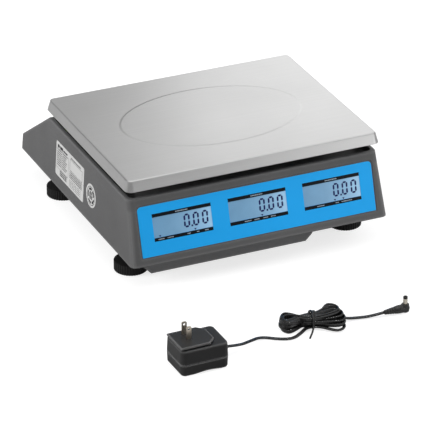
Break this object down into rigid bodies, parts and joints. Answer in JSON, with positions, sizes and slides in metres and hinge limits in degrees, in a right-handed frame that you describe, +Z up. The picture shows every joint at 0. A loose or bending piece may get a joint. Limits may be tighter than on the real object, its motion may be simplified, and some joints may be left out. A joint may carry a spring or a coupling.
{
  "type": "retail price scale",
  "caption": "Counter price-computing scale with a flat steel platter, a blue three-window customer display, an operator keypad, levelling feet and a mains adapter on its cord.",
  "frame": {"origin": "on the counter, under the middle of the scale", "axes": "+X to the right as the customer sees the scale, +Y from the customer to the operator, +Z up"},
  "size_m": [0.3691, 0.5725, 0.1419],
  "materials": {
    "stainless_steel": "brushed",
    "cast_aluminium": "dark grey paint",
    "black_rubber": "matte",
    "load_cell_alloy": "machined",
    "zinc_steel": "zinc plated",
    "chassis_steel": "galvanised",
    "grey_housing": "fine texture",
    "dark_housing": "fine texture",
    "blue_overlay": "satin print",
    "console_overlay": "satin print",
    "display_glass": "backlit glass",
    "board_green": "solder mask",
    "silicone_mat": "matte",
    "battery_case": "moulded",
    "black_plastic": "moulded",
    "rocker_black": "gloss",
    "level_acrylic": "clear green",
    "label_film": "satin film",
    "adapter_black": "fine texture",
    "blade_brass": "nickelled brass",
    "cord_black": "satin",
    "tie_black": "coated wire",
    "nickel_barrel": "nickel",
    "foot_black": "moulded",
    "key_light": "satin",
    "key_dark": "satin"
  },
  "bodies": {
    "housing": {"upper_housing": "grey_housing", "lower_housing": "dark_housing", "housing_screws": "zinc_steel", "chassis": "chassis_steel", "base_screws": "zinc_steel", "overload_stops": "zinc_steel", "load_cell": "load_cell_alloy", "customer_overlay": "blue_overlay", "customer_displays": "display_glass", "customer_board": "board_green", "operator_overlay": "console_overlay", "operator_displays": "display_glass", "main_board": "board_green", "keypad_mat": "silicone_mat", "battery": "battery_case", "dc_jack": "black_plastic", "power_switch_case": "black_plastic", "bubble_level": "level_acrylic", "side_labels": "label_film", "adapter_upper_shell": "adapter_black", "adapter_lower_shell": "adapter_black", "adapter_lead": "cord_black", "cord_hank": "cord_black", "hank_tie": "tie_black", "plug_lead": "cord_black", "barrel_plug": "cord_black", "barrel_sleeve": "nickel_barrel", "barrel_tip": "rocker_black"},
    "weighing_platform": {"platter_support": "cast_aluminium", "platter_cushions": "black_rubber", "support_screws": "zinc_steel"},
    "platter": {"platter": "stainless_steel"},
    "rocker": {"power_switch_rocker": "rocker_black"},
    "battery_door": {"battery_door": "dark_housing"},
    "mains_plug": {"plug_slide": "adapter_black", "plug_blades": "blade_brass"},
    "pad_front_left": {"foot_pad_front_left": "black_rubber"},
    "wheel_front_left": {"foot_wheel_front_left": "foot_black"},
    "pad_front_right": {"foot_pad_front_right": "black_rubber"},
    "wheel_front_right": {"foot_wheel_front_right": "foot_black"},
    "pad_back_left": {"foot_pad_back_left": "black_rubber"},
    "wheel_back_left": {"foot_wheel_back_left": "foot_black"},
    "pad_back_right": {"foot_pad_back_right": "black_rubber"},
    "wheel_back_right": {"foot_wheel_back_right": "foot_black"},
    "key_7": {"key_7": "key_light"},
    "key_8": {"key_8": "key_light"},
    "key_9": {"key_9": "key_light"},
    "key_4": {"key_4": "key_light"},
    "key_5": {"key_5": "key_light"},
    "key_6": {"key_6": "key_light"},
    "key_1": {"key_1": "key_light"},
    "key_2": {"key_2": "key_light"},
    "key_3": {"key_3": "key_light"},
    "key_clear": {"key_clear": "key_dark"},
    "key_0": {"key_0": "key_light"},
    "key_point": {"key_point": "key_light"},
    "key_zero": {"key_zero": "key_dark"},
    "key_tare": {"key_tare": "key_dark"},
    "key_add": {"key_add": "key_dark"},
    "key_total": {"key_total": "key_dark"}
  },
  "joints": [
    {"name": "platform_deflection", "type": "slide", "parent": "housing", "child": "weighing_platform", "axis": [0, 0, -1], "range_m": [0, 0.0006], "stiffness_N_per_m": 100000, "springref_m": -0.0003, "deforming": ["load_cell"]},
    {"name": "platter_lift", "type": "slide", "parent": "weighing_platform", "child": "platter", "axis": [0, 0, 1], "range_m": [0, 0.03]},
    {"name": "power_rocker_tilt", "type": "hinge", "parent": "housing", "child": "rocker", "pos_m": [0.16802, 0.018, 0.06794], "axis": [-0.0628, 0, 0.998], "range_deg": [-18, 0]},
    {"name": "battery_door_drop", "type": "slide", "parent": "housing", "child": "battery_door", "axis": [0, 0, -1], "range_m": [0, 0.02]},
    {"name": "plug_slide_off", "type": "slide", "parent": "housing", "child": "mains_plug", "axis": [-0.9998, -0.0174, 0], "range_m": [0, 0.03]},
    {"name": "foot_height_front_left", "type": "slide", "parent": "housing", "child": "pad_front_left", "axis": [0, 0, 1], "range_m": [-0.006, 0.006]},
    {"name": "foot_turn_front_left", "type": "hinge", "parent": "pad_front_left", "child": "wheel_front_left", "pos_m": [-0.145, -0.1178, 0.0065], "axis": [0, 0, 1], "range_deg": [-1720, 1720]},
    {"name": "foot_height_front_right", "type": "slide", "parent": "housing", "child": "pad_front_right", "axis": [0, 0, 1], "range_m": [-0.006, 0.006]},
    {"name": "foot_turn_front_right", "type": "hinge", "parent": "pad_front_right", "child": "wheel_front_right", "pos_m": [0.145, -0.1178, 0.0065], "axis": [0, 0, 1], "range_deg": [-1720, 1720]},
    {"name": "foot_height_back_left", "type": "slide", "parent": "housing", "child": "pad_back_left", "axis": [0, 0, 1], "range_m": [-0.006, 0.006]},
    {"name": "foot_turn_back_left", "type": "hinge", "parent": "pad_back_left", "child": "wheel_back_left", "pos_m": [-0.145, 0.1032, 0.0065], "axis": [0, 0, 1], "range_deg": [-1720, 1720]},
    {"name": "foot_height_back_right", "type": "slide", "parent": "housing", "child": "pad_back_right", "axis": [0, 0, 1], "range_m": [-0.006, 0.006]},
    {"name": "foot_turn_back_right", "type": "hinge", "parent": "pad_back_right", "child": "wheel_back_right", "pos_m": [0.145, 0.1032, 0.0065], "axis": [0, 0, 1], "range_deg": [-1720, 1720]},
    {"name": "key_7_press", "type": "slide", "parent": "housing", "child": "key_7", "axis": [0, -0.565, -0.8251], "range_m": [0, 0.0012], "stiffness_N_per_m": 400, "springref_m": -0.0005, "deforming": ["keypad_mat"]},
    {"name": "key_8_press", "type": "slide", "parent": "housing", "child": "key_8", "axis": [0, -0.565, -0.8251], "range_m": [0, 0.0012], "stiffness_N_per_m": 400, "springref_m": -0.0005, "deforming": ["keypad_mat"]},
    {"name": "key_9_press", "type": "slide", "parent": "housing", "child": "key_9", "axis": [0, -0.565, -0.8251], "range_m": [0, 0.0012], "stiffness_N_per_m": 400, "springref_m": -0.0005, "deforming": ["keypad_mat"]},
    {"name": "key_4_press", "type": "slide", "parent": "housing", "child": "key_4", "axis": [0, -0.565, -0.8251], "range_m": [0, 0.0012], "stiffness_N_per_m": 400, "springref_m": -0.0005, "deforming": ["keypad_mat"]},
    {"name": "key_5_press", "type": "slide", "parent": "housing", "child": "key_5", "axis": [0, -0.565, -0.8251], "range_m": [0, 0.0012], "stiffness_N_per_m": 400, "springref_m": -0.0005, "deforming": ["keypad_mat"]},
    {"name": "key_6_press", "type": "slide", "parent": "housing", "child": "key_6", "axis": [0, -0.565, -0.8251], "range_m": [0, 0.0012], "stiffness_N_per_m": 400, "springref_m": -0.0005, "deforming": ["keypad_mat"]},
    {"name": "key_1_press", "type": "slide", "parent": "housing", "child": "key_1", "axis": [0, -0.565, -0.8251], "range_m": [0, 0.0012], "stiffness_N_per_m": 400, "springref_m": -0.0005, "deforming": ["keypad_mat"]},
    {"name": "key_2_press", "type": "slide", "parent": "housing", "child": "key_2", "axis": [0, -0.565, -0.8251], "range_m": [0, 0.0012], "stiffness_N_per_m": 400, "springref_m": -0.0005, "deforming": ["keypad_mat"]},
    {"name": "key_3_press", "type": "slide", "parent": "housing", "child": "key_3", "axis": [0, -0.565, -0.8251], "range_m": [0, 0.0012], "stiffness_N_per_m": 400, "springref_m": -0.0005, "deforming": ["keypad_mat"]},
    {"name": "key_clear_press", "type": "slide", "parent": "housing", "child": "key_clear", "axis": [0, -0.565, -0.8251], "range_m": [0, 0.0012], "stiffness_N_per_m": 400, "springref_m": -0.0005, "deforming": ["keypad_mat"]},
    {"name": "key_0_press", "type": "slide", "parent": "housing", "child": "key_0", "axis": [0, -0.565, -0.8251], "range_m": [0, 0.0012], "stiffness_N_per_m": 400, "springref_m": -0.0005, "deforming": ["keypad_mat"]},
    {"name": "key_point_press", "type": "slide", "parent": "housing", "child": "key_point", "axis": [0, -0.565, -0.8251], "range_m": [0, 0.0012], "stiffness_N_per_m": 400, "springref_m": -0.0005, "deforming": ["keypad_mat"]},
    {"name": "key_zero_press", "type": "slide", "parent": "housing", "child": "key_zero", "axis": [0, -0.565, -0.8251], "range_m": [0, 0.0012], "stiffness_N_per_m": 400, "springref_m": -0.0005, "deforming": ["keypad_mat"]},
    {"name": "key_tare_press", "type": "slide", "parent": "housing", "child": "key_tare", "axis": [0, -0.565, -0.8251], "range_m": [0, 0.0012], "stiffness_N_per_m": 400, "springref_m": -0.0005, "deforming": ["keypad_mat"]},
    {"name": "key_add_press", "type": "slide", "parent": "housing", "child": "key_add", "axis": [0, -0.565, -0.8251], "range_m": [0, 0.0012], "stiffness_N_per_m": 400, "springref_m": -0.0005, "deforming": ["keypad_mat"]},
    {"name": "key_total_press", "type": "slide", "parent": "housing", "child": "key_total", "axis": [0, -0.565, -0.8251], "range_m": [0, 0.0012], "stiffness_N_per_m": 400, "springref_m": -0.0005, "deforming": ["keypad_mat"]}
  ],
  "couplings": [
    {"joint": "foot_height_front_left", "follows": "foot_turn_front_left", "m_per_rad": 0.00019894},
    {"joint": "foot_height_front_right", "follows": "foot_turn_front_right", "m_per_rad": 0.00019894},
    {"joint": "foot_height_back_left", "follows": "foot_turn_back_left", "m_per_rad": 0.00019894},
    {"joint": "foot_height_back_right", "follows": "foot_turn_back_right", "m_per_rad": 0.00019894}
  ]
}
